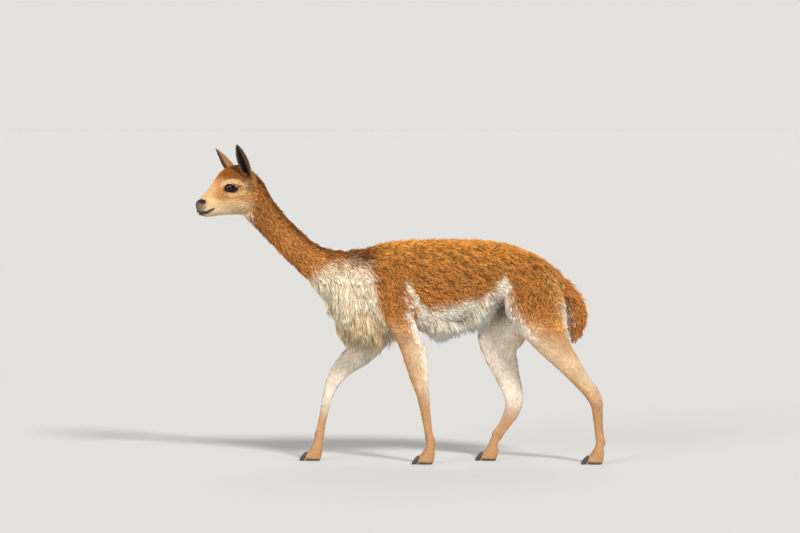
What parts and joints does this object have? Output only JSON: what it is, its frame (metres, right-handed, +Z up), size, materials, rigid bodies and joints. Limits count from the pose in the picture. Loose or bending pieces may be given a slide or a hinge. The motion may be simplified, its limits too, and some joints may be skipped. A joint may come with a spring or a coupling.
{
  "type": "vicuna model",
  "caption": "Life-size still model of a vicuna in mid stride, with a long slim neck, a shaggy chest bib, a fringed belly and a hanging woolly tail.",
  "frame": {"origin": "on the ground, under the middle of the animal's bounding box", "axes": "the animal faces -X and stands on the plane Z = 0 with +Z up; its left side is towards -Y and its right side towards +Y"},
  "size_m": [1.64, 0.2877, 1.2722],
  "materials": {
    "fawn_coat": "dense fine fleece, cinnamon fawn",
    "face_coat": "short smooth hair, golden tan",
    "leg_coat": "short smooth hair, pale tan",
    "tail_coat": "curly wool, brown",
    "ear_coat": "short hair, dark grey-brown",
    "eyes": "polished, near black",
    "nails": "dull horn, dark grey"
  },
  "bodies": {
    "root": {"head": "face_coat", "neck": "fawn_coat", "torso": "fawn_coat", "tail": "tail_coat", "leg_front_left": "leg_coat", "leg_front_right": "leg_coat", "leg_hind_left": "leg_coat", "leg_hind_right": "leg_coat", "ear_left": "ear_coat", "ear_right": "ear_coat", "eye_left": "eyes", "eye_right": "eyes", "nail_front_left_a": "nails", "nail_front_left_b": "nails", "nail_front_right_a": "nails", "nail_front_right_b": "nails", "nail_hind_left_a": "nails", "nail_hind_left_b": "nails", "nail_hind_right_a": "nails", "nail_hind_right_b": "nails"}
  },
  "joints": []
}
